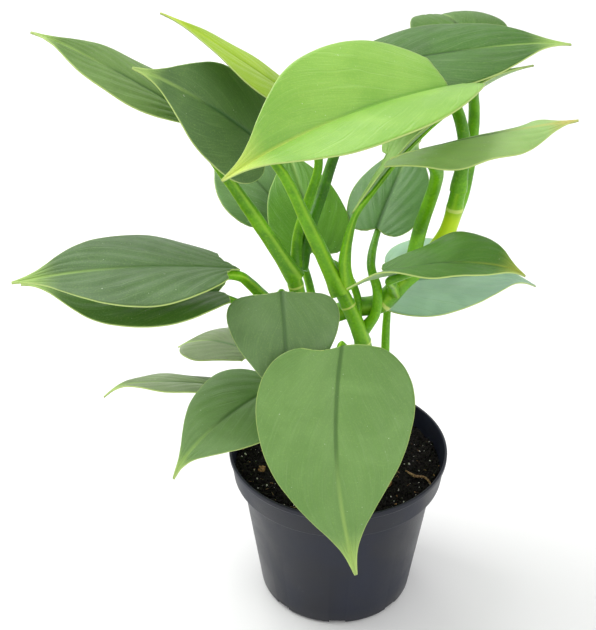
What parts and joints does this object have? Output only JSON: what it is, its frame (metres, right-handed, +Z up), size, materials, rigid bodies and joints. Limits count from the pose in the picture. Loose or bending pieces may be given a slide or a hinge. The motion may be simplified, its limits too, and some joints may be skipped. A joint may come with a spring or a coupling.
{
  "type": "potted philodendron",
  "caption": "Leafy philodendron with long-stalked heart-shaped leaves on leaning stems, rooted in dark mix in a round tapered nursery pot with a collared rim.",
  "frame": {"origin": "centre of the pot's underside, on the surface it stands on", "axes": "+Z up along the pot's axis; -Y towards the side the big drooping leaf hangs over; +X to the right of a viewer on that side"},
  "size_m": [0.2687, 0.2246, 0.3286],
  "materials": {
    "pot": "semi-matt moulded, blue-black",
    "potting_mix": "loose dark peat mix with pale specks",
    "bark": "rough tan bark and root",
    "stem": "waxy yellow-green, ringed at the nodes",
    "stalk": "waxy bright green",
    "leaf": "satin grey-green with a pale margin",
    "young_leaf": "satin bright yellow-green"
  },
  "bodies": {
    "root": {"pot": "pot", "potting_mix": "potting_mix", "bark_chip_front": "bark", "bark_chip_back": "bark", "bark_chip_left": "bark", "root_fibre": "bark", "stem_left": "stem", "stem_middle": "stem", "stem_right": "stem", "stalk_top_front": "stalk", "leaf_top_front": "young_leaf", "stalk_top_right": "stalk", "leaf_top_right": "leaf", "stalk_top_right_back": "stalk", "leaf_top_right_back": "leaf", "stalk_right_upright": "stalk", "leaf_right_upright": "leaf", "stalk_right_pale": "stalk", "leaf_right_pale": "leaf", "stalk_top_left_young": "stalk", "leaf_top_left_young": "young_leaf", "stalk_far_left": "stalk", "leaf_far_left": "leaf", "stalk_upper_left": "stalk", "leaf_upper_left": "leaf", "stalk_back_left": "stalk", "leaf_back_left": "leaf", "stalk_back_centre": "stalk", "leaf_back_centre": "leaf", "stalk_back_right": "stalk", "leaf_back_right": "leaf", "stalk_mid_left": "stalk", "leaf_mid_left": "leaf", "stalk_mid_left_low": "stalk", "leaf_mid_left_low": "leaf", "stalk_front_left": "stalk", "leaf_front_left": "leaf", "stalk_front": "stalk", "leaf_front": "leaf", "stalk_low_left": "stalk", "leaf_low_left": "leaf", "stalk_low_far_left": "stalk", "leaf_low_far_left": "leaf", "stalk_low_back_left": "stalk", "leaf_low_back_left": "leaf", "stalk_right_upper": "stalk", "leaf_right_upper": "leaf", "stalk_right_lower": "stalk", "leaf_right_lower": "leaf"}
  },
  "joints": []
}
